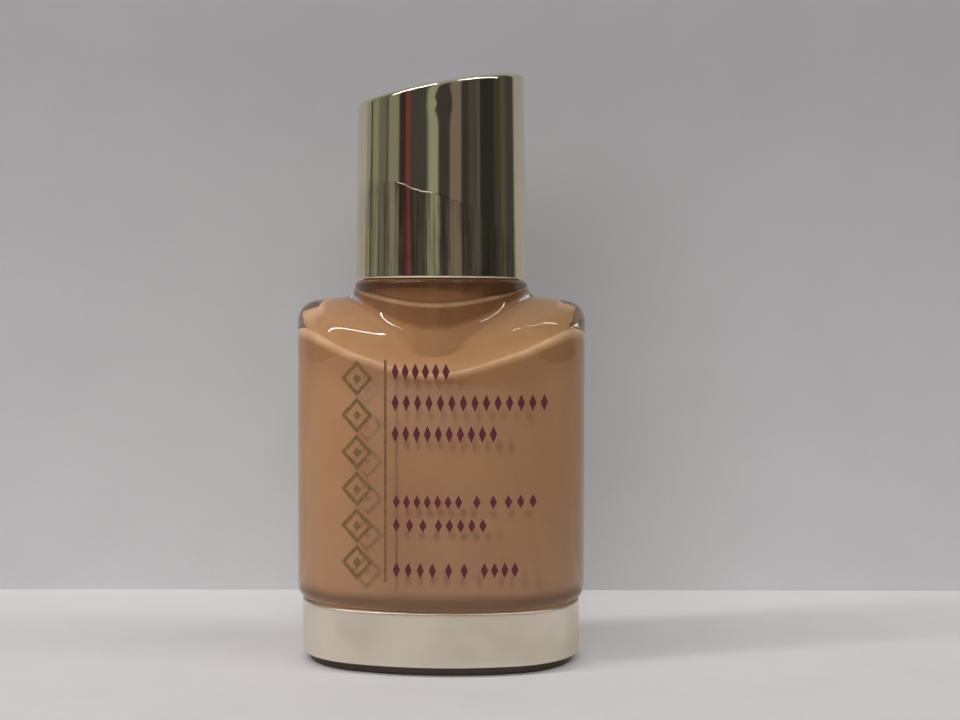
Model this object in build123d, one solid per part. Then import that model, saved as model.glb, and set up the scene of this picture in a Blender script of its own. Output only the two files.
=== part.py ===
from build123d import *
import math
import os

# A foundation bottle: an oval glass bottle with an arched shoulder and a round collar, a gold
# cup around its foot, and a tall round gold cap with a slanted top that screws on the neck.
#
# Frame: millimetres, +Z up, origin in the middle of the face it stands on. +X is the
# bottle's right and -Y is its printed front.

# ---- glass body
BODY_WIDTH = 48.0
BODY_DEPTH = 33.0
END_RADIUS = 15.0  # the two tight arcs of the four-arc oval plan
HEEL_Z = 10.2  # underside of the full-width body
HEEL_RADIUS = 2.0
FOOT_Z = 6.0  # underside of the smaller foot that stands in the base cup
FOOT_INSET = 2.15
FOOT_EDGE = 1.0

SHOULDER_CREST_Z = 61.2  # crest of the arched shoulder on the bottle's axis
SHOULDER_ARC = 19.5  # radius of the arch, seen from the side
SHOULDER_SWEEP = 150.0  # radius of its crest, seen from the front
SHOULDER_EDGE = 2.4

COLLAR_RADIUS = 14.35
COLLAR_TOP_Z = 63.0
COLLAR_FLARE = 1.6  # concave blend from collar to shoulder
COLLAR_EDGE = 0.4

# ---- cavity
WALL = 4.2
FLOOR_Z = 10.6
FLOOR_EDGE = 2.5
CAVITY_CREST_Z = 56.2
CAVITY_ARC = 13.2
CAVITY_EDGE = 1.5
THROAT_RADIUS = 10.8  # the cavity's own collar, inside the glass one
THROAT_CREST_Z = 61.2
THROAT_ARC = 27.6
THROAT_EDGE = 0.5
WELL_RADIUS = 9.8  # the throat narrows to this, up through the collar
WELL_TOP_Z = 63.4
BORE_RADIUS = 6.5
FILL_Z = 64.0  # level of the liquid, just above the well

# ---- low step inside the cap's rim, that the neck stands on
STEP_RADIUS = 12.4
STEP_TOP_Z = 65.2
STEP_EDGE = 0.4

# ---- neck and its thread, of the 20-410 kind
NECK_ROOT_RADIUS = 8.85
NECK_THREAD_RADIUS = 9.95
NECK_TOP_Z = 75.8
LIP_EDGE = 0.6
PITCH = 3.175
NECK_THREAD_START_Z = 69.0
NECK_THREAD_TURNS = 1.5
RIDGE_ROOT_WIDTH = 1.9
RIDGE_CREST_WIDTH = 0.8
RIDGE_SINK = 0.3  # how far a thread's root is buried in its wall

# ---- cap
CAP_BOTTOM_Z = 63.2
CAP_BOTTOM_RADIUS = 14.3
CAP_TOP_RADIUS = 13.82  # at SLANT_Z
CAP_WALL = 1.2
CAP_TOP_EDGE = 0.8
CAP_RIM_EDGE = 0.25
SLANT_Z = 94.75  # height of the slanted top on the axis
SLANT_SLOPE = 0.19
SLANT_HEADING = 19.0  # degrees from +X, towards +Y, of the slant's high side

# ---- threaded liner inside the cap
LINER_BOTTOM_Z = 65.6
LINER_TOP_Z = 78.1
LINER_TOP_PLATE = 1.3
LINER_SKIRT_RADIUS = 11.4
LINER_BORE_RADIUS = 10.15
LINER_THREAD_RADIUS = 9.1
LINER_THREAD_TURNS = 1.5
RIB_COUNT = 24
RIB_WIDTH = 0.8
FIT_GAP = 0.03  # gap left between pressed or glued faces
GLUE_HEIGHT = 1.6
WAD_RADIUS = 9.9

# ---- base cup
CUP_INSET = 0.75  # the cup's outside is this much smaller than the glass body
CUP_TOP_Z = 10.1
CUP_WALL = 1.35
CUP_LIP_Z = 1.4  # the wall's lower lip overhangs the foot that the cup stands on
CUP_LIP_EDGE = 0.35
CUP_FOOT_STEP = 1.3  # how far inside the lip the foot is
CUP_RIM_WIDTH = 2.2  # width of the foot's standing rim
CUP_RECESS = 0.8  # depth of the recess inside the standing rim
CUP_FLOOR_TOP_Z = 2.0
CUP_TOP_EDGE = 0.3
PEDESTAL_INSET = 6.0  # the oval rib that the glass foot is glued on
PEDESTAL_WIDTH = 1.4
PEDESTAL_TOP_Z = 5.5
LABEL_RADIUS = 9.0
LABEL_THICKNESS = 0.12

# ---- print on the front of the glass
INK = 0.05
RULE_X = -7.3
RULE_WIDTH = 0.45
PRINT_TOP_Z = 50.2
PRINT_BOTTOM_Z = 15.1
ORNAMENT_X = -12.0
ORNAMENT_WIDTH = 5.3
ORNAMENT_COUNT = 6
ORNAMENT_STROKE = 0.6
BEAD_PITCH = 1.75
BEAD_WIDTH = 1.15
# height of a row's middle, height of its beads, and each run of beads from x to x
PRINT_ROWS = [
    (48.4, 2.7, [(-6.3, 2.9)]),
    (43.5, 2.7, [(-6.3, 18.2)]),
    (38.6, 2.7, [(-6.3, 10.3)]),
    (27.9, 2.2, [(-6.1, 4.9), (6.6, 10.3), (11.5, 16.5)]),
    (24.2, 2.2, [(-6.1, -0.7), (0.6, 8.7)]),
    (17.1, 2.5, [(-6.1, 0.8), (2.2, 5.8), (7.8, 13.7)]),
]

# ---- worked out from the above
HALF_WIDTH = BODY_WIDTH / 2
HALF_DEPTH = BODY_DEPTH / 2
END_CENTRE = HALF_WIDTH - END_RADIUS
FRONT_RADIUS = (END_CENTRE**2 + HALF_DEPTH**2 - END_RADIUS**2) / (2 * (HALF_DEPTH - END_RADIUS))
FRONT_CENTRE = FRONT_RADIUS - HALF_DEPTH
CAP_DRAFT = (CAP_BOTTOM_RADIUS - CAP_TOP_RADIUS) / (SLANT_Z - CAP_BOTTOM_Z)
ABOVE_ALL_Z = 110.0


def oval(inset):
    """The bottle's four-arc oval plan, made smaller all round by inset."""
    end_radius = END_RADIUS - inset
    lean = math.atan2(FRONT_CENTRE, END_CENTRE)
    x = END_CENTRE + end_radius * math.cos(lean)
    y = end_radius * math.sin(lean)
    arcs = [
        ThreePointArc((x, -y), (HALF_WIDTH - inset, 0), (x, y)),
        ThreePointArc((x, y), (0, HALF_DEPTH - inset), (-x, y)),
        ThreePointArc((-x, y), (inset - HALF_WIDTH, 0), (-x, -y)),
        ThreePointArc((-x, -y), (0, inset - HALF_DEPTH), (x, -y)),
    ]
    return Face(Wire(arcs))


def oval_block(inset, bottom_z, top_z):
    """An upright block of the oval plan."""
    return extrude(Pos(0, 0, bottom_z) * oval(inset), amount=top_z - bottom_z)


def round_block(radius, bottom_z, top_z):
    """An upright round bar on the axis."""
    return extrude(Pos(0, 0, bottom_z) * Circle(radius), amount=top_z - bottom_z)


def taper_block(inset, bottom_z, top_z):
    """The cap's drafted round form, made smaller all round by inset."""
    rise = top_z - CAP_BOTTOM_Z
    drop = bottom_z - CAP_BOTTOM_Z
    profile = Polyline(
        (0, bottom_z),
        (CAP_BOTTOM_RADIUS - inset - drop * CAP_DRAFT, bottom_z),
        (CAP_BOTTOM_RADIUS - inset - rise * CAP_DRAFT, top_z),
        (0, top_z),
        close=True,
    )
    return revolve(Plane.XZ * make_face(profile), axis=Axis.Z)


def arched_block(crest_z, arc, sweep):
    """Everything under an arch that runs along X and drops gently to both sides."""
    half = arc * 0.97
    edge_z = crest_z - arc + math.sqrt(arc**2 - half**2)
    arch = ThreePointArc((-half, edge_z), (0, crest_z), (half, edge_z))
    legs = Polyline((half, edge_z), (half, -5), (-half, -5), (-half, edge_z))
    section = make_face(arch + legs)
    hub = Axis((0, 0, crest_z - sweep), (0, 1, 0))
    turn = 17.0  # wide enough to reach past the ends of the body
    block = revolve(Plane.YZ * section, axis=hub, revolution_arc=2 * turn)
    return block.rotate(hub, -turn)


def near_z(edges, low, high):
    """The edges whose middle lies between two heights."""
    return [e for e in edges if low < e.center(CenterOf.BOUNDING_BOX).Z < high]


def from_axis(edge):
    """How far a point of the edge lies from the bottle's axis."""
    point = edge.position_at(0.3)
    return math.hypot(point.X, point.Y)


def upright(edge):
    """True for an edge that runs straight up."""
    return abs(edge.tangent_at(0.5).Z) > 0.9


def thread_ridge(root_radius, crest_radius, start_z, turns, start_angle):
    """A right-handed helical ridge from a wall at root_radius to crest_radius."""
    outward = 1 if crest_radius > root_radius else -1
    base = root_radius - outward * RIDGE_SINK
    path = Helix(pitch=PITCH, height=turns * PITCH, radius=base)
    section = Polyline(
        (base, -RIDGE_ROOT_WIDTH / 2),
        (crest_radius, -RIDGE_CREST_WIDTH / 2),
        (crest_radius, RIDGE_CREST_WIDTH / 2),
        (base, RIDGE_ROOT_WIDTH / 2),
        close=True,
    )
    ridge = sweep(Plane.XZ * make_face(section), path=path, is_frenet=True)
    return Pos(0, 0, start_z) * Rot(0, 0, start_angle) * ridge


def make_cavity():
    """The space that the glass is moulded around, up to the top of the well."""
    arch = arched_block(CAVITY_CREST_Z, CAVITY_ARC, SHOULDER_SWEEP - (SHOULDER_CREST_Z - CAVITY_CREST_Z))
    belly = oval_block(WALL, FLOOR_Z, CAVITY_CREST_Z + 5) & arch
    belly = fillet(near_z(belly.edges(), FLOOR_Z - 0.1, FLOOR_Z + 0.1), FLOOR_EDGE)
    rim = [e for e in near_z(belly.edges(), 45, 58) if not upright(e)]
    belly = fillet(rim, CAVITY_EDGE)
    throat_arch = extrude(
        Plane.YZ * Pos(0, THROAT_CREST_Z - THROAT_ARC) * Circle(THROAT_ARC), amount=30, both=True
    )
    throat = round_block(THROAT_RADIUS, FLOOR_Z + 25, THROAT_CREST_Z + 5) & throat_arch
    throat = fillet(near_z(throat.edges(), 58, 62), THROAT_EDGE)
    well = round_block(WELL_RADIUS, FLOOR_Z + 25, WELL_TOP_Z)
    well = fillet(near_z(well.edges(), WELL_TOP_Z - 0.1, WELL_TOP_Z + 0.1), THROAT_EDGE)
    return belly + throat + well


def make_glass_bottle(cavity):
    """The bottle: foot, body, arched shoulder, collar, step and threaded neck, with its cavity."""
    body = oval_block(0, HEEL_Z, SHOULDER_CREST_Z + 5)
    body &= arched_block(SHOULDER_CREST_Z, SHOULDER_ARC, SHOULDER_SWEEP)
    body = fillet(near_z(body.edges(), HEEL_Z - 0.1, HEEL_Z + 0.1), HEEL_RADIUS)
    body += round_block(COLLAR_RADIUS, 45, COLLAR_TOP_Z)
    arches = near_z(body.edges(), 50, 62)
    junction = [e for e in arches if abs(from_axis(e) - COLLAR_RADIUS) < 0.01]
    body = fillet(junction, COLLAR_FLARE)
    arches = near_z(body.edges(), 50, 62)
    rim = [e for e in arches if from_axis(e) > HALF_DEPTH - 0.1 and not upright(e)]
    body = fillet(rim, SHOULDER_EDGE)
    body = fillet(near_z(body.edges(), COLLAR_TOP_Z - 0.01, COLLAR_TOP_Z + 0.01), COLLAR_EDGE)

    foot = oval_block(FOOT_INSET, FOOT_Z, HEEL_Z + 2)
    foot = fillet(near_z(foot.edges(), FOOT_Z - 0.1, FOOT_Z + 0.1), FOOT_EDGE)

    step = round_block(STEP_RADIUS, COLLAR_TOP_Z - 1, STEP_TOP_Z)
    step = fillet(near_z(step.edges(), STEP_TOP_Z - 0.1, STEP_TOP_Z + 0.1), STEP_EDGE)

    neck = round_block(NECK_ROOT_RADIUS, COLLAR_TOP_Z - 1, NECK_TOP_Z)
    neck = fillet(near_z(neck.edges(), NECK_TOP_Z - 0.1, NECK_TOP_Z + 0.1), LIP_EDGE)
    thread = thread_ridge(
        NECK_ROOT_RADIUS, NECK_THREAD_RADIUS, NECK_THREAD_START_Z, NECK_THREAD_TURNS, 0
    )
    bore = round_block(BORE_RADIUS, CAVITY_CREST_Z, NECK_TOP_Z + 1)
    return body + foot + step + neck + thread - cavity - bore


def make_foundation(cavity):
    """The liquid: it fills the cavity and the well, up to its level in the bore."""
    full = cavity + round_block(BORE_RADIUS, CAVITY_CREST_Z, NECK_TOP_Z)
    return full - round_block(HALF_WIDTH, FILL_Z, ABOVE_ALL_Z)


def slanted_lid(drop):
    """Everything above the cap's slanted top, lowered by drop along the axis."""
    plane = Plane(
        origin=(0, 0, SLANT_Z - drop),
        z_dir=Vector(-SLANT_SLOPE, 0, 1).rotate(Axis.Z, SLANT_HEADING),
    )
    return extrude(plane * Rectangle(80, 80), amount=40)


def make_cap_shell():
    """The thin gold outer cap, open below and closed by its slanted top."""
    outside = taper_block(0, CAP_BOTTOM_Z, ABOVE_ALL_Z) - slanted_lid(0)
    outside = fillet(near_z(outside.edges(), SLANT_Z - 2, SLANT_Z + 2), CAP_TOP_EDGE)
    bottom = near_z(outside.edges(), CAP_BOTTOM_Z - 0.01, CAP_BOTTOM_Z + 0.01)
    outside = fillet(bottom, CAP_RIM_EDGE)
    inside = taper_block(CAP_WALL, CAP_BOTTOM_Z - 1, ABOVE_ALL_Z) - slanted_lid(CAP_WALL)
    return outside - inside


def make_cap_liner():
    """The plain inner cap: a threaded skirt with upright ribs that grip the gold shell."""
    skirt = round_block(LINER_SKIRT_RADIUS, LINER_BOTTOM_Z, LINER_TOP_Z)
    ribs = [
        Rot(0, 0, i * 360 / RIB_COUNT)
        * Pos(LINER_SKIRT_RADIUS + 1, 0, (LINER_BOTTOM_Z + LINER_TOP_Z) / 2)
        * Box(4, RIB_WIDTH, LINER_TOP_Z - LINER_BOTTOM_Z - 2 * GLUE_HEIGHT)
        for i in range(RIB_COUNT)
    ]
    shelf = round_block(CAP_BOTTOM_RADIUS, LINER_BOTTOM_Z, LINER_BOTTOM_Z + 1.0)
    liner = skirt + ribs + shelf
    liner &= taper_block(CAP_WALL + FIT_GAP, LINER_BOTTOM_Z, LINER_TOP_Z)
    liner -= round_block(LINER_BORE_RADIUS, LINER_BOTTOM_Z - 1, LINER_TOP_Z - LINER_TOP_PLATE)
    return liner + thread_ridge(
        LINER_BORE_RADIUS,
        LINER_THREAD_RADIUS,
        NECK_THREAD_START_Z - PITCH / 2 - PITCH / 4,
        LINER_THREAD_TURNS,
        -90,
    )


def make_cap_adhesive():
    """A ring of hot-melt glue between the top of the liner and the shell."""
    top = LINER_TOP_Z - FIT_GAP
    ring = taper_block(CAP_WALL + FIT_GAP, top - GLUE_HEIGHT + 2 * FIT_GAP, top)
    return ring - round_block(LINER_SKIRT_RADIUS + FIT_GAP, LINER_BOTTOM_Z, ABOVE_ALL_Z)


def make_cap_seal_disc():
    """The foam wad that the lip of the neck closes on."""
    return round_block(WAD_RADIUS, NECK_TOP_Z, LINER_TOP_Z - LINER_TOP_PLATE)


def make_base_cup():
    """The gold cup around the glass foot: wall, floor, standing rim and the rib it is glued by."""
    outside = oval_block(CUP_INSET, CUP_LIP_Z, CUP_TOP_Z)
    outside = fillet(near_z(outside.edges(), CUP_LIP_Z - 0.1, CUP_LIP_Z + 0.1), CUP_LIP_EDGE)
    outside = fillet(near_z(outside.edges(), CUP_TOP_Z - 0.1, CUP_TOP_Z + 0.1), CUP_TOP_EDGE)
    foot = oval_block(CUP_INSET + CUP_FOOT_STEP, 0, CUP_FLOOR_TOP_Z)
    room = oval_block(CUP_INSET + CUP_WALL, CUP_FLOOR_TOP_Z, CUP_TOP_Z + 1)
    recess = oval_block(CUP_INSET + CUP_FOOT_STEP + CUP_RIM_WIDTH, -1, CUP_RECESS)
    pedestal = oval_block(PEDESTAL_INSET, CUP_FLOOR_TOP_Z - 0.5, PEDESTAL_TOP_Z)
    pedestal -= oval_block(PEDESTAL_INSET + PEDESTAL_WIDTH, 0, PEDESTAL_TOP_Z + 1)
    return outside + foot - room - recess + pedestal


def make_base_adhesive():
    """The bead of glue between the cup's rib and the glass foot."""
    bead = oval_block(PEDESTAL_INSET - 0.3, PEDESTAL_TOP_Z, FOOT_Z)
    return bead - oval_block(PEDESTAL_INSET + PEDESTAL_WIDTH + 0.3, 0, FOOT_Z + 1)


def make_base_label():
    """A blank round sticker in the recess under the cup."""
    return round_block(LABEL_RADIUS, CUP_RECESS - LABEL_THICKNESS, CUP_RECESS)


def printed(shapes):
    """Flat shapes drawn in the XZ plane, laid as a film of ink on the front of the glass."""
    film = oval_block(-INK, 12, 52) - oval_block(0, 11, 53)
    stamps = [extrude(Plane.XZ * shape, amount=HALF_WIDTH) for shape in shapes]
    return Part() + [film & stamp for stamp in stamps]


def lozenge(x, z, width, height):
    """A filled diamond with its middle at x, z."""
    return Pos(x, z) * make_face(
        Polyline((-width / 2, 0), (0, -height / 2), (width / 2, 0), (0, height / 2), close=True)
    )


def make_front_rule():
    """The thin upright line."""
    height = PRINT_TOP_Z - PRINT_BOTTOM_Z
    return printed([Pos(RULE_X, PRINT_BOTTOM_Z + height / 2) * Rectangle(RULE_WIDTH, height)])


def make_front_ornament():
    """A column of open lozenges, each with a small one inside."""
    step = (PRINT_TOP_Z - PRINT_BOTTOM_Z) / ORNAMENT_COUNT
    shapes = []
    for i in range(ORNAMENT_COUNT):
        z = PRINT_BOTTOM_Z + (i + 0.5) * step
        inner = 1 - 2 * ORNAMENT_STROKE * math.hypot(ORNAMENT_WIDTH, step) / (ORNAMENT_WIDTH * step)
        frame = lozenge(ORNAMENT_X, z, ORNAMENT_WIDTH, step * 0.98)
        frame -= lozenge(ORNAMENT_X, z, ORNAMENT_WIDTH * inner, step * 0.98 * inner)
        shapes.append(frame)
        shapes.append(lozenge(ORNAMENT_X, z, ORNAMENT_WIDTH * 0.26, step * 0.26))
    return printed(shapes)


def make_front_beads():
    """Rows of small lozenges, in runs of different lengths."""
    shapes = []
    for z, height, runs in PRINT_ROWS:
        for start, end in runs:
            count = max(2, round((end - start - BEAD_WIDTH) / BEAD_PITCH) + 1)
            step = (end - start - BEAD_WIDTH) / (count - 1)
            for i in range(count):
                x = start + BEAD_WIDTH / 2 + i * step
                shapes.append(lozenge(x, z, BEAD_WIDTH, height))
    return printed(shapes)


cavity = make_cavity()
nodes = {
    "glass_bottle": make_glass_bottle(cavity),
    "foundation": make_foundation(cavity),
    "base_cup": make_base_cup(),
    "base_adhesive": make_base_adhesive(),
    "base_label": make_base_label(),
    "cap_shell": make_cap_shell(),
    "cap_liner": make_cap_liner(),
    "cap_adhesive": make_cap_adhesive(),
    "cap_seal_disc": make_cap_seal_disc(),
    "front_rule": make_front_rule(),
    "front_ornament": make_front_ornament(),
    "front_beads": make_front_beads(),
}

os.makedirs("parts", exist_ok=True)
for name, shape in nodes.items():
    export_step(shape, f"parts/{name}.step")
    print(name, "volume", round(shape.volume, 2), "mm3")
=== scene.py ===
"""Looks of the foundation bottle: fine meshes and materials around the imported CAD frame."""

import math

import bpy
import numpy as np
from mathutils import Matrix, Vector


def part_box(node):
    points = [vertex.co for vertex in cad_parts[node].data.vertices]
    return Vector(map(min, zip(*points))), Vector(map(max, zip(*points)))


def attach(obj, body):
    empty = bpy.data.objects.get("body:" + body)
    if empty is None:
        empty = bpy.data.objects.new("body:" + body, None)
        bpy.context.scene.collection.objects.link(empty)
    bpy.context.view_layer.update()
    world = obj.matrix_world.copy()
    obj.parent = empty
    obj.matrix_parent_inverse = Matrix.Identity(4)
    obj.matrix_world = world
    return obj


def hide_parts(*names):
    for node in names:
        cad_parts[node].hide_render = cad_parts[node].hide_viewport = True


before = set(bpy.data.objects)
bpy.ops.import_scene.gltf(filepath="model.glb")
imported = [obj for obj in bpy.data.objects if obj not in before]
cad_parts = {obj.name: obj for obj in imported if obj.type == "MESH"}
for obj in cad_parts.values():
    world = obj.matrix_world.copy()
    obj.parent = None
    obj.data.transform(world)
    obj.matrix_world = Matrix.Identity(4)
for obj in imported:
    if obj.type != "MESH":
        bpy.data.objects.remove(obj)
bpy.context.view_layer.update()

# All shapes below are worked out in millimetres. Sizes are those of the CAD, apart from five
# edges that are marked with the CAD's size. Bevels and fillets of 0.4 mm and less are added at
# corners that are sharp in CAD, and so is the damage on the cap.
MM = 0.001
glass_low, glass_high = [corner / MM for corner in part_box("glass_bottle")]
liquid_low, liquid_high = [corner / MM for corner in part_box("foundation")]
cup_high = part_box("base_cup")[1] / MM
cap_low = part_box("cap_shell")[0] / MM

# ---- glass body
HALF_WIDTH = glass_high.x
HALF_DEPTH = glass_high.y
END_RADIUS = 15.0  # the two tight arcs of the four-arc oval plan
END_CENTRE = HALF_WIDTH - END_RADIUS
FRONT_RADIUS = (END_CENTRE**2 + HALF_DEPTH**2 - END_RADIUS**2) / (2 * (HALF_DEPTH - END_RADIUS))
FRONT_CENTRE = FRONT_RADIUS - HALF_DEPTH
FOOT_Z = glass_low.z
FOOT_INSET = 2.15
FOOT_EDGE = 1.0
HEEL_Z = 10.2
HEEL_RADIUS = 2.0
SHOULDER_CREST_Z = 61.2
SHOULDER_ARC = 19.5  # radius of the arched shoulder, seen from the side
SHOULDER_SWEEP = 150.0  # radius of its crest, seen from the front
SHOULDER_EDGE = 3.5  # CAD 2.4
COLLAR_RADIUS = 14.35
COLLAR_TOP_Z = 63.0
COLLAR_FLARE = 2.2  # CAD 1.6
COLLAR_EDGE = 0.8  # CAD 0.4

# ---- low step inside the cap's rim, that the neck stands on
STEP_RADIUS = 12.4
STEP_TOP_Z = 65.2
STEP_EDGE = 0.4

# ---- neck
NECK_ROOT_RADIUS = 8.85
NECK_THREAD_RADIUS = 9.95
NECK_TOP_Z = glass_high.z
NECK_FLARE = 0.4
LIP_EDGE = 0.6
LIP_INNER_EDGE = 0.3
PITCH = 3.175
THREAD_START_Z = 69.0
THREAD_TURNS = 1.5
THREAD_ROOT_HALF = 0.83  # half the ridge's width at the neck's wall
THREAD_CREST_HALF = 0.4  # and at its crest
THREAD_FADE = 0.07  # of a turn

# ---- cavity and the liquid in it
WALL = 4.2
FLOOR_Z = liquid_low.z
FLOOR_EDGE = 2.5
CAVITY_CREST_Z = 56.2
CAVITY_ARC = 13.2
CAVITY_EDGE = 0.7  # CAD 1.5
THROAT_RADIUS = 10.8
THROAT_CREST_Z = 61.2
THROAT_ARC = 27.6
THROAT_EDGE = 0.5
WELL_RADIUS = 9.8
WELL_TOP_Z = 63.4
WELL_ROOT = 0.3
BORE_RADIUS = 6.5
FILL_Z = liquid_high.z
WETTING = 0.04  # the liquid's skin lies this deep in the glass, so that no air gap shows

# ---- cap
CAP_BOTTOM_Z = cap_low.z
CAP_BOTTOM_RADIUS = 14.3
CAP_TOP_RADIUS = 13.82
SLANT_Z = 94.75
SLANT_SLOPE = 0.19
SLANT_HEADING = math.radians(19.0)
CAP_WALL = 1.2
CAP_TOP_EDGE = 0.8
CAP_RIM_EDGE = 0.12  # CAD 0.25
CAP_DRAFT = (CAP_BOTTOM_RADIUS - CAP_TOP_RADIUS) / (SLANT_Z - CAP_BOTTOM_Z)

# ---- damage on the cap: its angles are from +X round the axis
DENT_ANGLE = math.radians(-84.5)
DENT_Z = 90.6
DENT_DEPTH = 0.085
DENT_HALF_WIDTH = 0.9
DENT_HALF_HEIGHT = 1.3
PIP_ASIDE = 0.7  # a small pip stands in the dent, this far to its left
PIP_HEIGHT = 0.05
PIP_SIZE = 0.25
CRACK_START = math.radians(-118.5)
CRACK_END = math.radians(-66.0)
CRACK_START_Z = 78.6
CRACK_END_Z = 74.6
CRACK_STEP = 0.04  # how far the shell is pressed in just below the crack
CRACK_STEP_FADE = 1.4
CRACK_WIDTH = 0.16
RIB_MARK_DEPTH = 0.003

# ---- base cup
CUP_INSET = HALF_WIDTH - cup_high.x
CUP_TOP_Z = cup_high.z
CUP_WALL = 1.35
CUP_LIP_Z = 1.4
CUP_LIP_EDGE = 0.35
CUP_FOOT_STEP = 1.3
CUP_RIM_WIDTH = 2.2
CUP_RECESS = 0.8
CUP_FLOOR_TOP_Z = 2.0
CUP_TOP_EDGE = 0.3
PEDESTAL_INSET = 6.0
PEDESTAL_WIDTH = 1.4
PEDESTAL_TOP_Z = 5.5
CUP_CORNER = 0.3  # bevel at the foot of each wall that stands on the cup's floor

# ---- meshes
CHAMFER = 0.1  # bevel on small corners
AROUND_GLASS = 360  # points in each ring
AROUND_CAP = 720
THREAD_RING_STEP = 0.2
PROBE = 0.01  # half the step over which a surface's slope is measured

# ---- camera and stage, in metres
CAMERA_PLACE = Vector((0.0238, -0.25005, 0.0578))
CAMERA_AIM = Vector((-0.0689, 0.9971, -0.032))
CAMERA_ROLL = 0.002
CAMERA_LENS = 56.25
WALL_BEHIND = 0.0592
WALL_FACING = Vector((0.0689, -0.9976, 0.0))
WALL_HALF_WIDTH = 0.125
WALL_HEIGHT = 0.30
# Painted light: the wall is painted paler towards its foot, as if lit by light thrown back from
# the table.
WALL_FADE_Z = 0.11  # the wall's paint has its upper colour from here up
WALL_FOOT_PAINTED_LIGHT = (0.63, 0.62, 0.63)
WALL_TOP = (0.43, 0.42, 0.43)
TABLE_REACH = 1.5
TABLE_TOP = (0.83, 0.805, 0.82)
LAMP_AIM = Vector((0, 0, 0.05))  # the point that every lamp faces


# ---------------------------------------------------------------- shapes


def outline_directions(count):
    """Directions of the oval's outward normal, spaced evenly along its outline."""
    lean = math.atan2(FRONT_CENTRE, END_CENTRE)
    turns = np.array([0, lean, math.pi - lean, math.pi + lean, 2 * math.pi - lean, 2 * math.pi])
    radii = np.array([END_RADIUS, FRONT_RADIUS, END_RADIUS, FRONT_RADIUS, END_RADIUS])
    run = np.concatenate([[0], np.cumsum(np.diff(turns) * radii)])
    return np.interp(np.arange(count) * run[-1] / count, run, turns)


def oval(directions, inset):
    """Plan points of the oval, made smaller all round by inset."""
    cos, sin = np.cos(directions), np.sin(directions)
    on_end = np.abs(cos) > END_CENTRE / math.hypot(FRONT_CENTRE, END_CENTRE)
    centre_x = np.where(on_end, np.sign(cos) * END_CENTRE, 0)
    centre_y = np.where(on_end, 0, -np.sign(sin) * FRONT_CENTRE)
    radius = np.where(on_end, END_RADIUS, FRONT_RADIUS) - inset
    return np.column_stack([centre_x + radius * cos, centre_y + radius * sin])


def angles_of(directions):
    """The angle round the axis at which each point of the oval lies."""
    return np.arctan2(*oval(directions, 0).T[::-1])


def circle(angles, radius):
    """Plan points of a circle on the axis."""
    return np.column_stack([radius * np.cos(angles), radius * np.sin(angles)])


def lift(plan, z):
    """Plan points raised to a height, or each to its own."""
    return np.column_stack([plan, np.broadcast_to(z, len(plan))])


def on_axis(count, z):
    """A ring of count points that all lie on the axis."""
    return lift(np.zeros((count, 2)), z)


def edge_arc(place, centre_t, centre_z, radius, start, stop, count):
    """Rings of a convex edge: place(t) gives the plan points at distance t inside the wall."""
    turns = np.radians(np.linspace(start, stop, count))
    return [
        lift(place(centre_t - radius * math.cos(turn)), centre_z + radius * math.sin(turn))
        for turn in turns
    ]


def between(first, last, count):
    """Rings spread evenly between two rings, without them."""
    shares = np.linspace(0, 1, count + 2)[1:-1]
    return [first + (last - first) * share for share in shares]


def over(first, last, height, count):
    """Rings between two rings that follow a height field."""
    return [lift(ring[:, :2], height(ring)) for ring in between(first, last, count)]


def blend_rings(place, height, radius, sign, count):
    """Rings of a fillet from an upright wall to a height field.

    place(t) gives the plan points at distance t from the wall. sign is 1 for a convex fillet,
    with t measured inwards, and -1 for a concave one, with t measured outwards.
    """
    # How far the fillet reaches depends on the slope where it ends, so it is found in steps.
    reach = np.full(len(place(0.0)), radius / 2)
    for _ in range(8):
        ahead = height(place(reach + PROBE))
        behind = height(place(reach - PROBE))
        slope = np.arctan(sign * (ahead - behind) / (2 * PROBE))
        reach = radius * (1 - np.sin(slope))
    centre_z = height(place(reach)) - sign * radius * np.cos(slope)
    rings = []
    for share in np.linspace(0, 1, count):
        turn = share * (math.pi / 2 - slope)
        plan = place(radius * (1 - np.cos(turn)))
        rings.append(lift(plan, centre_z + sign * radius * np.sin(turn)))
    return rings


def arched(crest_z, arc, grow=0.0):
    """Height field of an arch that runs along X and drops gently to both sides."""
    sweep = SHOULDER_SWEEP - (SHOULDER_CREST_Z - crest_z)
    hub_z = crest_z - sweep

    def height(plan):
        side = np.sqrt((arc + grow) ** 2 - plan[:, 1] ** 2)
        return hub_z + np.sqrt((sweep - arc + side) ** 2 - plan[:, 0] ** 2)

    return height


def throat_top(grow=0.0):
    """Height field of the top of the throat, arched like the shoulder."""

    def height(plan):
        return THROAT_CREST_Z - THROAT_ARC + np.sqrt((THROAT_ARC + grow) ** 2 - plan[:, 1] ** 2)

    return height


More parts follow.
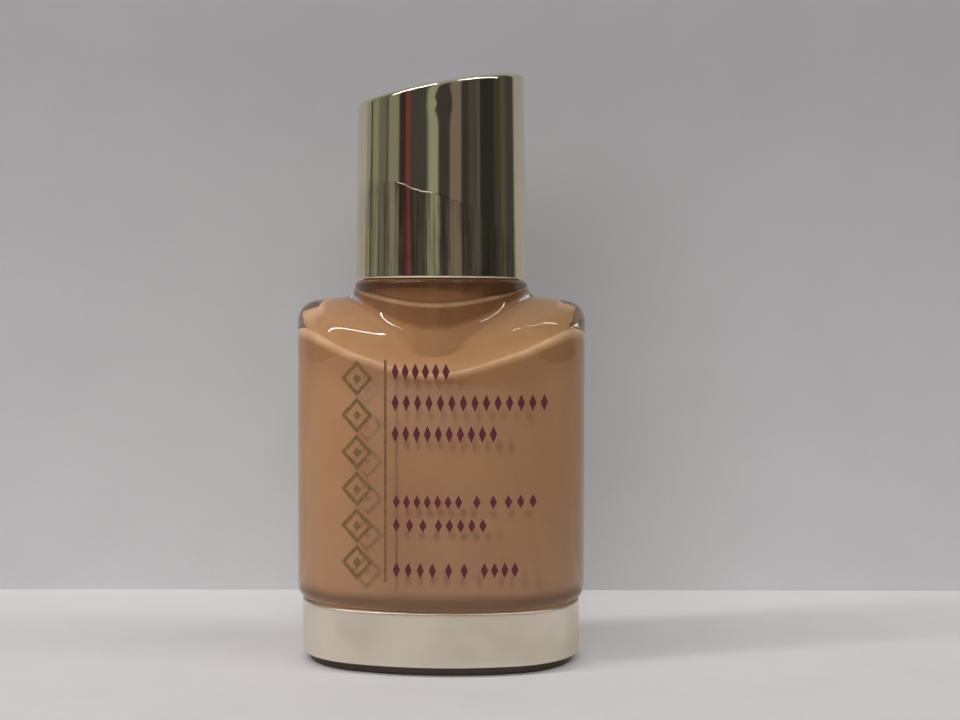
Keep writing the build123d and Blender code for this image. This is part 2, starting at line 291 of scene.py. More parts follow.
def inner_rings(directions, grow):
    """The cavity from the bottom of the bore down to its floor, made larger by grow.

    Returns its rings and their tones, which paint light and shade on the makeup: up to 1 for
    painted light on the edges and a little on the dome, and down to -1 for painted shade high on
    the throat's wall and just under the rim. A wall has no rings where its tone fades.
    """
    angles = angles_of(directions)
    ceiling = throat_top(grow)
    dome = arched(CAVITY_CREST_Z, CAVITY_ARC, grow)
    bore_end = lift(circle(angles, BORE_RADIUS + grow), WELL_TOP_Z + grow)
    well = edge_arc(
        lambda t: circle(angles, WELL_RADIUS + grow - t),
        THROAT_EDGE, WELL_TOP_Z + grow - THROAT_EDGE, THROAT_EDGE, 90, 0, 8,
    )
    well_root = blend_rings(
        lambda t: circle(angles, WELL_RADIUS + grow + t), ceiling, WELL_ROOT, -1, 5
    )
    edge = blend_rings(
        lambda t: circle(angles, THROAT_RADIUS + grow - t), ceiling, THROAT_EDGE, 1, 6
    )[::-1]
    root = blend_rings(
        lambda t: circle(angles, THROAT_RADIUS + grow + t), dome, THROAT_EDGE, -1, 6
    )
    rim = blend_rings(
        lambda t: oval(directions, WALL - grow + t), dome, CAVITY_EDGE, 1, 10
    )[::-1]
    floor = edge_arc(
        lambda t: oval(directions, WALL - grow + t),
        FLOOR_EDGE, FLOOR_Z - grow + FLOOR_EDGE, FLOOR_EDGE, 0, -90, 12,
    )
    middle = on_axis(len(directions), FLOOR_Z - grow)
    throat_wall = between(edge[-1], root[0], 18)
    body_wall = between(rim[-1], floor[0], 40)
    spans = [
        (0, [bore_end] + between(bore_end, well[0], 4) + well),
        (0, between(well[-1], well_root[0], 3) + well_root),
        (0, over(well_root[-1], edge[0], ceiling, 2)),
        (1, edge),
        (-0.75, throat_wall[:7]),
        (0.1, throat_wall[10:] + root),
        (0.2, over(root[-1], rim[0], dome, 14)),
        (1, rim),
        (-0.35, body_wall[:3]),
        (0, body_wall[6:] + floor),
        (0, between(floor[-1], middle, 4)),
    ]
    rings = [ring for _, span in spans for ring in span]
    return rings, [tone for tone, span in spans for _ in span]


def smooth_step(value):
    value = np.clip(value, 0, 1)
    return value * value * (3 - 2 * value)


def thread_height(angles, z):
    """How far the neck's thread stands out at each angle, at one height."""
    turn = np.mod(angles, 2 * math.pi) / (2 * math.pi)
    height = np.zeros(len(angles))
    for lap in range(math.ceil(THREAD_TURNS)):
        along = turn + lap
        away = np.abs(z - THREAD_START_Z - PITCH * along)
        ridge = smooth_step((THREAD_ROOT_HALF - away) / (THREAD_ROOT_HALF - THREAD_CREST_HALF))
        ends = smooth_step(along / THREAD_FADE) * smooth_step((THREAD_TURNS - along) / THREAD_FADE)
        height = np.maximum(height, ridge * ends)
    return height * (NECK_THREAD_RADIUS - NECK_ROOT_RADIUS)


def glass_rings(directions):
    """The whole surface of the glass, from under its foot, over the lip and down to its floor."""
    angles = angles_of(directions)
    shoulder = arched(SHOULDER_CREST_Z, SHOULDER_ARC)
    foot = edge_arc(
        lambda t: oval(directions, FOOT_INSET + t),
        FOOT_EDGE, FOOT_Z + FOOT_EDGE, FOOT_EDGE, -90, 0, 8,
    )
    heel = edge_arc(
        lambda t: oval(directions, t), HEEL_RADIUS, HEEL_Z + HEEL_RADIUS, HEEL_RADIUS, -90, 0, 12
    )
    rim = blend_rings(lambda t: oval(directions, t), shoulder, SHOULDER_EDGE, 1, 14)
    flare = blend_rings(
        lambda t: circle(angles, COLLAR_RADIUS + t), shoulder, COLLAR_FLARE, -1, 12
    )
    collar = edge_arc(
        lambda t: circle(angles, COLLAR_RADIUS - t),
        COLLAR_EDGE, COLLAR_TOP_Z - COLLAR_EDGE, COLLAR_EDGE, 0, 90, 14,
    )
    middle = on_axis(len(directions), FOOT_Z)
    rings = between(middle, foot[0], 4) + foot
    rings += [lift(oval(directions, FOOT_INSET), HEEL_Z - CHAMFER)]
    rings += [lift(oval(directions, FOOT_INSET - CHAMFER / 2), HEEL_Z)]
    rings += heel + between(heel[-1], rim[0], 24) + rim
    rings += over(rim[-1], flare[-1], shoulder, 18) + flare[::-1]
    rings += between(flare[0], collar[0], 4) + collar

    step = edge_arc(
        lambda t: circle(angles, STEP_RADIUS - t),
        STEP_EDGE, STEP_TOP_Z - STEP_EDGE, STEP_EDGE, 0, 90, 6,
    )
    rings += [lift(circle(angles, STEP_RADIUS + CHAMFER), COLLAR_TOP_Z)]
    rings += [lift(circle(angles, STEP_RADIUS), COLLAR_TOP_Z + CHAMFER)] + step
    neck_foot = edge_arc(
        lambda t: circle(angles, NECK_ROOT_RADIUS + 2 * NECK_FLARE - t),
        NECK_FLARE, STEP_TOP_Z + NECK_FLARE, NECK_FLARE, -90, -180, 5,
    )
    rings += between(step[-1], neck_foot[0], 4) + neck_foot
    thread_low_z = STEP_TOP_Z + NECK_FLARE + THREAD_RING_STEP
    for z in np.arange(thread_low_z, NECK_TOP_Z - LIP_EDGE, THREAD_RING_STEP):
        rings.append(lift(circle(angles, NECK_ROOT_RADIUS + thread_height(angles, z)), z))
    rings += edge_arc(
        lambda t: circle(angles, NECK_ROOT_RADIUS - t),
        LIP_EDGE, NECK_TOP_Z - LIP_EDGE, LIP_EDGE, 0, 90, 8,
    )
    rings += edge_arc(
        lambda t: circle(angles, BORE_RADIUS + LIP_INNER_EDGE + t),
        0, NECK_TOP_Z - LIP_INNER_EDGE, LIP_INNER_EDGE, 90, 180, 5,
    )
    inner, _ = inner_rings(directions, 0)
    return rings + between(rings[-1], inner[0], 24) + inner


def liquid_rings(directions):
    """The liquid from its floor up to its level in the bore, and the tones of its rings."""
    angles = angles_of(directions)
    rings, tones = inner_rings(directions, WETTING)
    level = lift(circle(angles, BORE_RADIUS + WETTING), FILL_Z)
    middle = on_axis(len(directions), FILL_Z)
    above = between(rings[0], level, 2) + [level] + between(level, middle, 4)
    return rings[::-1] + above, tones[::-1] + [0] * len(above)


def cup_rings(directions):
    """The base cup, from under its recess, over its wall and down to the middle of its floor.

    Returns its rings and their tones: 1 on its uncoated inside.
    """

    def ring(inset, z):
        return lift(oval(directions, inset), z)

    foot = CUP_INSET + CUP_FOOT_STEP
    recess = foot + CUP_RIM_WIDTH
    recess_middle = on_axis(len(directions), CUP_RECESS)
    lip = edge_arc(
        lambda t: oval(directions, CUP_INSET + t),
        CUP_LIP_EDGE, CUP_LIP_Z + CUP_LIP_EDGE, CUP_LIP_EDGE, -90, 0, 8,
    )
    top = edge_arc(
        lambda t: oval(directions, CUP_INSET + t),
        CUP_TOP_EDGE, CUP_TOP_Z - CUP_TOP_EDGE, CUP_TOP_EDGE, 0, 90, 6,
    )
    rings = between(recess_middle, ring(recess, CUP_RECESS), 4)
    rings += [ring(recess, CUP_RECESS), ring(recess, CUP_RECESS - CHAMFER), ring(recess, CHAMFER)]
    rings += [ring(recess - CHAMFER, 0), ring(foot + CHAMFER, 0), ring(foot, CHAMFER)]
    rings += [ring(foot, CUP_LIP_Z - CHAMFER / 2), ring(foot - CHAMFER / 2, CUP_LIP_Z)]
    rings += lip + between(lip[-1], top[0], 20) + top

    inside = CUP_INSET + CUP_WALL
    rings += [ring(inside - CHAMFER, CUP_TOP_Z)]
    coated = len(rings)
    low, corner_z = CUP_FLOOR_TOP_Z, CUP_FLOOR_TOP_Z + CUP_CORNER
    rings += [ring(inside, CUP_TOP_Z - CHAMFER)]
    rings += [ring(inside, corner_z), ring(inside + CUP_CORNER, low)]
    outer, inner = PEDESTAL_INSET, PEDESTAL_INSET + PEDESTAL_WIDTH
    rings += [ring(outer - CUP_CORNER, low), ring(outer, corner_z)]
    rings += [ring(outer, PEDESTAL_TOP_Z - CHAMFER), ring(outer + CHAMFER, PEDESTAL_TOP_Z)]
    rings += [ring(inner - CHAMFER, PEDESTAL_TOP_Z), ring(inner, PEDESTAL_TOP_Z - CHAMFER)]
    rings += [ring(inner, corner_z), ring(inner + CUP_CORNER, low)]
    rings += between(rings[-1], on_axis(len(directions), low), 4)
    return rings, [0] * coated + [1] * (len(rings) - coated)


def along_crack(angles):
    """How far along the crack each angle is, from 0 to 1, and the crack's height there."""
    along = (angles - CRACK_START) / (CRACK_END - CRACK_START)
    line_z = CRACK_START_Z + (CRACK_END_Z - CRACK_START_Z) * np.clip(along, -0.6, 1.5)
    return along, line_z + 0.14 * np.sin(along * 14) + 0.05 * np.sin(along * 41)


def hump(across, up, half_width, half_height):
    """A smooth bump, 1 in its middle and 0 well away from it."""
    return np.exp(-((across / half_width) ** 2 + (up / half_height) ** 2) / 2)


def pressed_in(angles, z):
    """How far the cap's outside is pressed in: the dent, the crack and the rib marks."""
    offset = np.mod(angles - DENT_ANGLE + math.pi, 2 * math.pi) - math.pi
    across = offset * CAP_TOP_RADIUS
    dent = DENT_DEPTH * hump(across, z - DENT_Z, DENT_HALF_WIDTH, DENT_HALF_HEIGHT)
    pip = PIP_HEIGHT * hump(across + PIP_ASIDE, z - DENT_Z, PIP_SIZE, 1.2 * PIP_SIZE)

    along, line_z = along_crack(angles)
    ends = smooth_step(along / 0.1) * smooth_step((0.62 - along) / 0.12)
    below = np.clip(line_z - z, 0, None)
    crack = CRACK_STEP * ends * smooth_step(below / 0.1) * np.exp(-below / CRACK_STEP_FADE)

    marks = 1 + np.cos(24 * angles) + 0.5 * np.sin(37 * angles + z)
    return dent - pip + crack + RIB_MARK_DEPTH * marks * smooth_step((line_z - z) / 2)


def scuffed(angles, z):
    """1 where the cap is dulled, below the crack; 0 above; -1 in the open end of the crack."""
    along, line_z = along_crack(angles)
    beside = np.clip(np.maximum(-along, along - 1), 0, None)
    dull = smooth_step((line_z - z + 0.05) / (0.2 + 9 * beside))
    dull *= 1 - smooth_step((beside - 0.1) / 1.2)
    opened = smooth_step((along - 0.5) / 0.1) * smooth_step((1 - along) / 0.15)
    line = np.clip(1 - np.abs(z - line_z) / CRACK_WIDTH, 0, 1) * opened
    return dull * (1 - line) - line


def cap_rings(angles):
    """The gold shell, from the middle of its inner top, round its rim and over its slanted top.

    Returns its rings and their tones, which say where the shell is scuffed.
    """

    def wall_radius(z, inset):
        return CAP_BOTTOM_RADIUS - inset - (z - CAP_BOTTOM_Z) * CAP_DRAFT

    rise = SLANT_SLOPE * np.cos(angles - SLANT_HEADING)
    inner_radius = wall_radius(SLANT_Z, CAP_WALL)
    inner_top = lift(circle(angles, inner_radius), SLANT_Z - CAP_WALL + rise * inner_radius)
    inner_middle = on_axis(len(angles), SLANT_Z - CAP_WALL)
    inner_low = lift(circle(angles, wall_radius(CAP_BOTTOM_Z, CAP_WALL)), CAP_BOTTOM_Z)
    rings = between(inner_middle, inner_top, 8) + [inner_top]
    rings += between(inner_top, inner_low, 20) + [inner_low]
    rings += edge_arc(
        lambda t: circle(angles, CAP_BOTTOM_RADIUS - t),
        CAP_RIM_EDGE, CAP_BOTTOM_Z + CAP_RIM_EDGE, CAP_RIM_EDGE, -90, 0, 6,
    )

    slope = np.arctan(rise)
    centre_radius = wall_radius(SLANT_Z, 0) - CAP_TOP_EDGE
    tangent_radius = centre_radius - CAP_TOP_EDGE * np.sin(slope)
    centre_z = SLANT_Z + rise * tangent_radius - CAP_TOP_EDGE * np.cos(slope)
    low_z = CAP_BOTTOM_Z + CAP_RIM_EDGE
    tones = [0] * len(rings)
    # The rings are closest together around the crack.
    side_rings = [0, 40, 120, 170]
    for share in np.interp(np.arange(1, side_rings[-1] + 1), side_rings, [0, 0.3, 0.56, 1]):
        z = low_z + (centre_z - low_z) * share
        blend = 1 - smooth_step((share - 0.97) / 0.03)
        rings.append(lift(circle(angles, wall_radius(z, 0) - blend * pressed_in(angles, z)), z))
        tones.append(scuffed(angles, z))
    drop = wall_radius(centre_z, 0) - wall_radius(SLANT_Z, 0)
    for share in np.linspace(0, 1, 10)[1:]:
        turn = share * (math.pi / 2 + slope)
        radius = centre_radius + drop * (1 - share) + CAP_TOP_EDGE * np.cos(turn)
        rings.append(lift(circle(angles, radius), centre_z + CAP_TOP_EDGE * np.sin(turn)))
    middle = on_axis(len(angles), SLANT_Z)
    rings += between(rings[-1], middle, 12)
    return rings, tones + [0] * (len(rings) - len(tones))


def closed_mesh(name, rings, start_z, end_z, tones):
    """A closed mesh through rings of points, with one point on the axis at each end.

    tones gives a number for each ring, or for each of its points, kept as the tone attribute.
    """
    count = len(rings[0])
    points = np.vstack([[[0, 0, start_z]], *rings, [[0, 0, end_z]]]) * MM
    here = np.arange(count)
    after = (here + 1) % count
    rows = 1 + count * np.arange(len(rings) - 1)[:, None]
    corners = [rows + here, rows + after, rows + count + after, rows + count + here]
    quads = np.stack(corners, axis=-1).reshape(-1, 4)
    last = 1 + count * (len(rings) - 1)
    start_fan = np.column_stack([np.zeros(count, int), 1 + after, 1 + here])
    end_fan = np.column_stack([np.full(count, len(points) - 1), last + here, last + after])
    mesh = bpy.data.meshes.new(name)
    mesh.from_pydata(points.tolist(), [], quads.tolist() + start_fan.tolist() + end_fan.tolist())
    mesh.shade_smooth()
    mesh.set_sharp_from_angle(angle=math.radians(40))
    spread = [np.broadcast_to(tone, count) for tone in tones]
    values = np.concatenate([[0], *spread, [0]]).astype(np.float32)
    mesh.attributes.new("tone", "FLOAT", "POINT").data.foreach_set("value", values)
    piece = bpy.data.objects.new(name, mesh)
    bpy.context.scene.collection.objects.link(piece)
    return piece


# ---------------------------------------------------------------- materials


class Look:
    """A node material with one Principled surface."""

    def __init__(self, name):
        self.material = bpy.data.materials.new(name)
        self.material.use_nodes = True
        self.tree = self.material.node_tree
        self.surface = self.tree.nodes["Principled BSDF"]
        self.output = self.tree.nodes["Material Output"]
        self.place = self.add("ShaderNodeTexCoord").outputs["Object"]

    def feed(self, node, values):
        """Sets a node's inputs: a socket is linked, and anything else is the value itself."""
        for key, value in values.items():
            if isinstance(value, bpy.types.NodeSocket):
                self.tree.links.new(value, node.inputs[key])
            else:
                node.inputs[key].default_value = value

    def add(self, kind, values=None, **settings):
        node = self.tree.nodes.new(kind)
        for key, value in settings.items():
            setattr(node, key, value)
        self.feed(node, values or {})
        return node

    def noise(self, scale, detail=3.0, stretch=(1, 1, 1), roughness=0.5):
        """Noise with features about 1 / scale metres across, from 0 to 1."""
        mapped = self.add("ShaderNodeMapping", {"Vector": self.place, "Scale": stretch})
        noise = self.add("ShaderNodeTexNoise", {
            "Vector": mapped.outputs["Vector"], "Scale": scale,
            "Detail": detail, "Roughness": roughness,
        })
        return noise.outputs["Fac"]

    def rescale(self, value, low, high, new_low, new_high):
        """value moved from the range low..high to new_low..new_high, and kept there."""
        node = self.add("ShaderNodeMapRange", {
            "Value": value, "From Min": low, "From Max": high,
            "To Min": new_low, "To Max": new_high,
        })
        return node.outputs["Result"]

    def mix(self, share, first, second):
        node = self.add("ShaderNodeMix", data_type="RGBA")
        self.feed(node, {0: share, 6: first, 7: second})
        return node.outputs[2]

    def math(self, operation, first, second):
        return self.add("ShaderNodeMath", {0: first, 1: second}, operation=operation).outputs[0]

    def height(self):
        """The height above the ground, in metres."""
        return self.add("ShaderNodeSeparateXYZ", {0: self.place}).outputs["Z"]

    def tone(self):
        """The tone that the mesh's rings were given, from -1 to 1."""
        return self.add("ShaderNodeAttribute", attribute_name="tone").outputs["Fac"]

    def bump(self, value, distance, strength=1.0, under=None):
        node = self.add("ShaderNodeBump", {
            "Height": value, "Distance": distance, "Strength": strength,
        })
        if under is not None:
            self.feed(node, {"Normal": under})
        return node.outputs["Normal"]


def clear_glass():
    """Thick moulded glass, slightly wavy and faintly grey-green, that lets light through."""
    look = Look("clear_glass")
    wave = look.bump(look.noise(140, 1.0), 0.00001)
    look.feed(look.surface, {
        "Base Color": (0.975, 0.985, 0.975, 1), "Roughness": 0.0, "IOR": 1.5,
        "Transmission Weight": 1.0, "Normal": wave,
    })
    shadow = look.add("ShaderNodeLightPath").outputs["Is Shadow Ray"]
    clear = look.add("ShaderNodeBsdfTransparent", {"Color": (0.96, 0.97, 0.96, 1)})
    mixed = look.add("ShaderNodeMixShader", {
        0: shadow, 1: look.surface.outputs[0], 2: clear.outputs[0],
    })
    look.feed(look.output, {"Surface": mixed.outputs[0]})
    return look.material


def liquid_foundation():
    """Opaque beige makeup in slightly different shades, a little darker and greyer low down,
    with painted light along its edges and painted shade high in its throat and well.
    """
    look = Look("liquid_foundation")
    patches = look.rescale(look.noise(75, 3.0, (1, 1, 0.55)), 0.35, 0.68, 0, 1)
    body = look.mix(patches, (0.51, 0.250, 0.105, 1), (0.56, 0.300, 0.136, 1))
    # A little darker and greyer towards the bottom.
    towards_floor = look.rescale(look.height(), 0.014, 0.034, 1, 0)
    body = look.mix(look.math("MULTIPLY", towards_floor, 0.6), body, (0.50, 0.262, 0.150, 1))
    # Painted shade: the wall of the well, under the neck, is made dark brown where the cap shades
    # it.
    painted_cap_shade = look.rescale(look.height(), 0.0588, 0.0622, 0, 0.75)
    body = look.mix(painted_cap_shade, body, (0.20, 0.085, 0.045, 1))
    uneven = look.rescale(look.noise(260, 2.0), 0.3, 0.7, 0.55, 1.0)
    # Painted light: positive tones make the makeup paler along the cavity's edges, where light
    # catches them, and a little on the dome.
    pale = look.math("MULTIPLY", look.rescale(look.tone(), 0, 1, 0, 1), uneven)
    body = look.mix(pale, body, (0.80, 0.50, 0.29, 1))
    # Painted shade: negative tones darken the throat's wall high up, in the cap's shadow, and the
    # wall just under the cavity's rim.
    painted_shade = look.rescale(look.tone(), 0, -1, 0, 0.8)
    body = look.mix(painted_shade, body, (0.24, 0.105, 0.05, 1))
    specks = look.rescale(look.noise(1500, 2.0), 0.66, 0.74, 0, 0.25)
    look.feed(look.surface, {
        "Base Color": look.mix(specks, body, (0.62, 0.40, 0.22, 1)),
        "Roughness": look.rescale(look.noise(300), 0.3, 0.7, 0.55, 0.75),
        "Specular IOR Level": 0.05,
        "Normal": look.bump(look.noise(220, 2.0), 0.00008),
    })
    return look.material


def gold(name, colour):
    """Metallised gold, a little tarnished in patches. Returns its look and its colour."""
    look = Look(name)
    look.feed(look.surface, {"Metallic": 1.0})
    tarnish = look.rescale(look.noise(60, 1.0), 0.2, 0.8, 0, 0.35)
    dull = tuple(0.86 * channel for channel in colour)
    return look, look.mix(tarnish, colour + (1,), dull + (1,))


def cap_gold():
    """Polished gold, dulled below the crack, where the shell is finely lined and stained.

    The stain is darkened as a painted darker reflection there, and the open crack is painted
    near black as painted shade.
    """
    look, colour = gold("cap_gold", (0.85, 0.78, 0.56))
    scuffed = look.rescale(look.tone(), 0, 1, 0, 1)
    lines = look.noise(1900, 2.0, (1, 1, 0.02), 0.6)
    # The fine lines are real marks; their dark stain is also a painted darker reflection below the
    # crack.
    stain_and_dark_reflection = look.math("MULTIPLY", scuffed, look.rescale(lines, 0.45, 0.62, 0.12, 0.75))
    colour = look.mix(stain_and_dark_reflection, colour, (0.36, 0.26, 0.18, 1))
    # Painted shade: the open end of the crack is made near black, as shade in the gap.
    crack_shade = look.rescale(look.tone(), 0, -1, 0, 0.9)
    polish = look.rescale(look.noise(110, 4.0), 0.35, 0.75, 0.07, 0.12)
    dull = look.rescale(look.noise(500, 3.0, (1, 1, 0.2)), 0.3, 0.7, 0.08, 0.16)
    lined = look.bump(look.math("MULTIPLY", lines, scuffed), 0.000012)
    look.feed(look.surface, {
        "Base Color": look.mix(crack_shade, colour, (0.05, 0.04, 0.03, 1)),
        "Roughness": look.add("ShaderNodeMix", {0: scuffed, 2: polish, 3: dull}).outputs[0],
        "Normal": look.bump(look.noise(2600, 1.0, (1, 1, 0.05)), 0.000002, 0.6, lined),
    })
    return look.material


def cup_gold():
    """Satin gold with a few soft stains and dull inside; painted shade makes it near black
    under the lip.
    """
    look, colour = gold("cup_gold", (0.90, 0.81, 0.68))
    stains = look.rescale(look.noise(70, 2.0, (1, 1, 1.6)), 0.52, 0.72, 0, 0.4)
    colour = look.mix(stains, colour, (0.66, 0.60, 0.42, 1))
    # Painted shade: below the lip the gold is made near black, as the undercut lies in shadow.
    lip_shade = look.rescale(look.height(), 0.0012, 0.0015, 0.93, 0)
    colour = look.mix(lip_shade, colour, (0.03, 0.02, 0.015, 1))
    look.feed(look.surface, {
        "Base Color": look.mix(look.tone(), colour, (0.07, 0.055, 0.04, 1)),
        "Roughness": look.rescale(look.noise(110, 1.0), 0.2, 0.8, 0.26, 0.42),
        "Normal": look.bump(look.noise(420, 3.0), 0.000007),
    })
    return look.material


def grained(name, colour, shade, roughness, scale, depth, subsurface=0.0):
    """A plain material with a little variation in colour, gloss and surface."""
    look = Look(name)
    share = look.rescale(look.noise(scale * 0.3, 4.0), 0.3, 0.7, 0, 1)
    look.feed(look.surface, {
        "Base Color": look.mix(share, colour + (1,), shade + (1,)),
        "Roughness": look.rescale(look.noise(scale), 0.3, 0.7, roughness - 0.06, roughness + 0.06),
        "Subsurface Weight": subsurface, "Subsurface Scale": 0.001,
        "Normal": look.bump(look.noise(scale * 2, 3.0), depth),
    })
    return look.material


def gold_ink():
    """Hot-stamped bronze print, thin and slightly broken."""
    look = Look("gold_ink")
    wear = look.rescale(look.noise(1800, 3.0), 0.4, 0.75, 0, 1)
    look.feed(look.surface, {
        "Base Color": look.mix(wear, (0.30, 0.17, 0.065, 1), (0.42, 0.26, 0.11, 1)),
        "Metallic": 0.4,
        "Roughness": look.rescale(look.noise(2500), 0.3, 0.7, 0.38, 0.55),
        "Normal": look.bump(look.noise(4000), 0.000004),
    })
    return look.material


# ---------------------------------------------------------------- stage and light


def lamp(name, start, end, width, power, colour, only_on=None):
    """An area light from start to end, that faces the middle of the bottle.

    It isn't seen through the glass. One that is only_on some pieces lights nothing else, and
    isn't seen in reflections either.
    """
    start, end = Vector(start), Vector(end)
    middle = (start + end) / 2
    along = (end - start).normalized()
    away = middle - LAMP_AIM
    away = (away - along * away.dot(along)).normalized()
    data = bpy.data.lights.new(name, "AREA")
    data.shape = "RECTANGLE"
    data.size, data.size_y = width, (end - start).length
    data.energy = power
    data.color = colour
    light = bpy.data.objects.new(name, data)
    turn = Matrix((along.cross(away), along, away)).transposed().to_4x4()
    light.matrix_world = Matrix.Translation(middle) @ turn
    light.visible_transmission = False
    if only_on:
        light.visible_glossy = False
        lit = bpy.data.collections.new(name + "_lights")
        for piece in only_on:
            lit.objects.link(piece)
        light.light_linking.receiver_collection = lit
    bpy.context.scene.collection.objects.link(light)


def stage_plane(name, corners, material):
    mesh = bpy.data.meshes.new(name)
    mesh.from_pydata([tuple(corner) for corner in corners], [], [(0, 1, 2, 3)])
    mesh.materials.append(material)
    plane = bpy.data.objects.new(name, mesh)
    bpy.context.scene.collection.objects.link(plane)
    return plane


def card_material(name, low, high, one_sided):
    """Matt paint, of colour low at its foot and high from WALL_FADE_Z up, with a faint mottle; a
    paler foot is painted light.

    A one-sided card isn't seen from behind.
    """
    look = Look(name)
    # On the wall the paler foot is painted light, standing in for light thrown up from the table.
    up = look.rescale(look.height(), 0, WALL_FADE_Z, 0, 1)
    colour = look.mix(up, low + (1,), high + (1,))
    mottle = look.rescale(look.noise(60, 5.0), 0.3, 0.7, 0.96, 1)
    look.feed(look.surface, {
        "Base Color": look.add("ShaderNodeVectorMath", {0: colour, 1: mottle},
                               operation="MULTIPLY").outputs[0],
        "Roughness": 0.8, "Specular IOR Level": 0.2,
        "Normal": look.bump(look.noise(700, 2.0), 0.00004),
    })
    if one_sided:
        behind = look.add("ShaderNodeNewGeometry").outputs["Backfacing"]
        clear = look.add("ShaderNodeBsdfTransparent")
        mixed = look.add("ShaderNodeMixShader", {
            0: behind, 1: look.surface.outputs[0], 2: clear.outputs[0],
        })
        look.feed(look.output, {"Surface": mixed.outputs[0]})
    return look.material


# What stands round the room, seen from the bottle: where each thing starts, in degrees to the
# right of the camera, and its colour. The gold cap shows it as upright bars.
ROOM = [
    (-180, (0.26, 0.26, 0.23)),
    (-112, (0.05, 0.045, 0.035)),
    (-108, (0.23, 0.24, 0.19)),
    (-95, (0.136, 0.14, 0.124)),
    (-81, (0.10, 0.06, 0.07)),
    (-76, (0.22, 0.225, 0.18)),
    (-60, (0.033, 0.022, 0.026)),
    (-49.5, (0.16, 0.048, 0.048)),
    (-43.5, (0.056, 0.052, 0.056)),
    (-20, (0.15, 0.13, 0.11)),
    (-17, (0.27, 0.30, 0.23)),
    (-5, (0.05, 0.04, 0.043)),
    (11, (0.18, 0.152, 0.136)),
    (26, (0.042, 0.036, 0.035)),
    (36, (0.068, 0.062, 0.06)),
    (48, (0.10, 0.09, 0.08)),
    (53, (0.026, 0.026, 0.026)),
    (75, (0.05, 0.048, 0.044)),
    (87, (0.08, 0.08, 0.065)),
    (97, (0.052, 0.051, 0.052)),
    (114, (0.26, 0.26, 0.235)),
]
ROOM_TOP = 0.75  # sine of the height up to which the room's things reach
ROOM_TOP_BLUR = 0.15
CEILING = (0.26, 0.265, 0.26, 1)
BACKGROUND = (0.42, 0.41, 0.415, 1)


def build_world():
    """Upright bars of the room, a pale ceiling, and a plain background for the camera."""
    world = bpy.data.worlds.new("room")
    bpy.context.scene.world = world
    world.use_nodes = True
    tree = world.node_tree
    tree.nodes.clear()

    def add(kind, **settings):
        node = tree.nodes.new(kind)
        for key, value in settings.items():
            setattr(node, key, value)
        return node

    towards = add("ShaderNodeTexCoord").outputs["Generated"]
    split = add("ShaderNodeSeparateXYZ")
    tree.links.new(towards, split.inputs[0])
    to_camera = math.atan2(CAMERA_PLACE.y, CAMERA_PLACE.x)
    turn = add("ShaderNodeMath", operation="ARCTAN2")
    tree.links.new(split.outputs["Y"], turn.inputs[0])
    tree.links.new(split.outputs["X"], turn.inputs[1])
    shift = add("ShaderNodeMath", operation="SUBTRACT")
    tree.links.new(turn.outputs[0], shift.inputs[0])
    shift.inputs[1].default_value = to_camera - math.pi
    wrap = add("ShaderNodeMath", operation="WRAP")
    tree.links.new(shift.outputs[0], wrap.inputs[0])
    wrap.inputs[1].default_value = 2 * math.pi
    wrap.inputs[2].default_value = 0.0
    share = add("ShaderNodeMath", operation="DIVIDE")
    tree.links.new(wrap.outputs[0], share.inputs[0])
    share.inputs[1].default_value = 2 * math.pi

    bars = add("ShaderNodeValToRGB")
    bars.color_ramp.interpolation = "CONSTANT"
    stops = bars.color_ramp.elements
    stops.remove(stops[1])
    for index, (start, colour) in enumerate(ROOM):
        stop = stops[0] if index == 0 else stops.new((start + 180) / 360)
        stop.color = colour + (1,)
    tree.links.new(share.outputs[0], bars.inputs[0])

    above = add("ShaderNodeMapRange")
    tree.links.new(split.outputs["Z"], above.inputs["Value"])
    above.inputs["From Min"].default_value = ROOM_TOP - ROOM_TOP_BLUR
    above.inputs["From Max"].default_value = ROOM_TOP + ROOM_TOP_BLUR
    blend = add("ShaderNodeMix", data_type="RGBA")
    tree.links.new(above.outputs[0], blend.inputs[0])
    tree.links.new(bars.outputs[0], blend.inputs[6])
    blend.inputs[7].default_value = CEILING

    seen = add("ShaderNodeMix", data_type="RGBA")
    tree.links.new(add("ShaderNodeLightPath").outputs["Is Camera Ray"], seen.inputs[0])
    tree.links.new(blend.outputs[2], seen.inputs[6])
    seen.inputs[7].default_value = BACKGROUND
    background = add("ShaderNodeBackground")
    tree.links.new(seen.outputs[2], background.inputs[0])
    output = add("ShaderNodeOutputWorld")
    tree.links.new(background.outputs[0], output.inputs[0])


def build_stage():
    """The wall behind the bottle and the table that it stands on."""
    side = Vector((-WALL_FACING.y, WALL_FACING.x, 0)) * WALL_HALF_WIDTH
    foot = -WALL_FACING * WALL_BEHIND
    up = Vector((0, 0, WALL_HEIGHT))
    wall = [foot - side, foot + side, foot + side + up, foot - side + up]
    paint = card_material("wall_paint", WALL_FOOT_PAINTED_LIGHT, WALL_TOP, True)
    reach = TABLE_REACH
    table = [(-reach, -reach, 0), (reach, -reach, 0), (reach, reach, 0), (-reach, reach, 0)]
    top = card_material("table_top", TABLE_TOP, TABLE_TOP, False)
    return [stage_plane("backdrop", wall, paint), stage_plane("floor", table, top)]


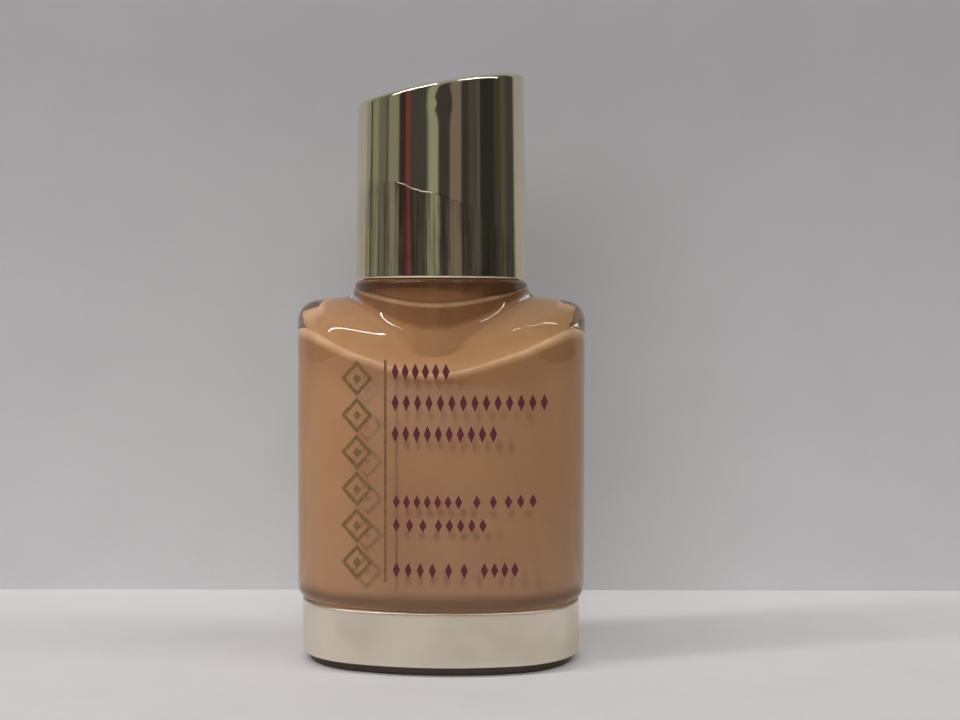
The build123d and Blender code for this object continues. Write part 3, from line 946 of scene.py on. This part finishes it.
def build_lights(liquid, stage):
    """Three ceiling tubes, two lights for the liquid, and one for the wall and the table."""
    cool, green = (1.0, 0.985, 0.985), (0.95, 1.0, 0.95)
    warm, pale, blue = (1.0, 0.98, 0.95), (1.0, 0.98, 0.96), (0.985, 0.985, 1.0)
    lamp("left_tube", (-0.19, -0.15, 1.0), (-2.2, -0.85, 1.0), 0.032, 8.5, cool)
    lamp("right_tube", (0.11, -0.19, 1.0), (2.2, -0.10, 1.0), 0.022, 5.2, green)
    lamp("far_tube", (-0.40, 0.47, 1.0), (-0.27, 0.47, 1.0), 0.02, 0.3, cool)
    # The light that throws the print's shadow on the liquid.
    lamp("key", (-0.36, -0.78, 0.38), (-0.30, -0.78, 0.38), 0.05, 1.5, warm, [liquid])
    lamp("top_light", (-0.40, -0.48, 1.0), (0.15, -0.48, 1.0), 0.3, 0.75, pale, [liquid])
    lamp("stage_light", (-0.60, -0.90, 0.33), (0.30, -0.90, 0.33), 0.4, 3.9, blue, stage)


def build_camera():
    aim = CAMERA_AIM.normalized()
    level = aim.cross(Vector((0, 0, 1))).normalized()
    upright = level.cross(aim)
    right = level * math.cos(CAMERA_ROLL) + upright * math.sin(CAMERA_ROLL)
    up = upright * math.cos(CAMERA_ROLL) - level * math.sin(CAMERA_ROLL)
    data = bpy.data.cameras.new("camera")
    data.lens = CAMERA_LENS
    data.sensor_width = 36.0
    data.clip_start = 0.01
    camera = bpy.data.objects.new("camera", data)
    turn = Matrix((right, up, -aim)).transposed().to_4x4()
    camera.matrix_world = Matrix.Translation(CAMERA_PLACE) @ turn
    bpy.context.scene.collection.objects.link(camera)
    bpy.context.scene.camera = camera


# ---------------------------------------------------------------- the object


def place_piece(name, rings, start_z, end_z, material, body, node, tones=None):
    """A fine mesh that stands for a CAD node."""
    piece = closed_mesh(name, rings, start_z, end_z, tones or [0] * len(rings))
    piece.data.materials.append(material)
    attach(piece, body)
    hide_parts(node)
    return piece


def build_pieces():
    directions = outline_directions(AROUND_GLASS)
    angles = np.arange(AROUND_CAP) * 2 * math.pi / AROUND_CAP - math.pi
    place_piece("glass_body", glass_rings(directions), FOOT_Z, FLOOR_Z,
                clear_glass(), "bottle", "glass_bottle")
    rings, tones = liquid_rings(directions)
    liquid = place_piece("makeup", rings, FLOOR_Z - WETTING, FILL_Z, liquid_foundation(),
                         "bottle", "foundation", tones)
    rings, tones = cup_rings(directions)
    place_piece("gold_base_cup", rings, CUP_RECESS, CUP_FLOOR_TOP_Z, cup_gold(),
                "bottle", "base_cup", tones)
    rings, tones = cap_rings(angles)
    place_piece("gold_cap", rings, SLANT_Z - CAP_WALL, SLANT_Z, cap_gold(),
                "cap", "cap_shell", tones)
    return liquid


def dress_nodes():
    """Materials for the CAD pieces whose shape stays as it is."""
    hot_melt = grained("hot_melt", (0.80, 0.72, 0.52), (0.74, 0.64, 0.42), 0.4, 900, 0.00003, 0.3)
    looks = {
        "base_adhesive": hot_melt,
        "cap_adhesive": hot_melt,
        "base_label": grained(
            "label_paper", (0.84, 0.82, 0.77), (0.79, 0.77, 0.72), 0.8, 2400, 0.00001
        ),
        "cap_liner": grained(
            "liner_plastic", (0.86, 0.85, 0.81), (0.82, 0.81, 0.76), 0.42, 700, 0.00001, 0.2
        ),
        "cap_seal_disc": grained(
            "wad_foam", (0.82, 0.81, 0.77), (0.76, 0.75, 0.70), 0.85, 3000, 0.00004
        ),
        "front_beads": grained(
            "plum_ink", (0.20, 0.022, 0.045), (0.15, 0.016, 0.034), 0.45, 3000, 0.000004
        ),
    }
    looks["front_rule"] = looks["front_ornament"] = gold_ink()
    for name, material in looks.items():
        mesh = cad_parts[name].data
        mesh.materials.clear()
        mesh.materials.append(material)


makeup = build_pieces()
dress_nodes()
build_world()
build_lights(makeup, build_stage())
build_camera()
bpy.context.scene.view_settings.view_transform = "Standard"
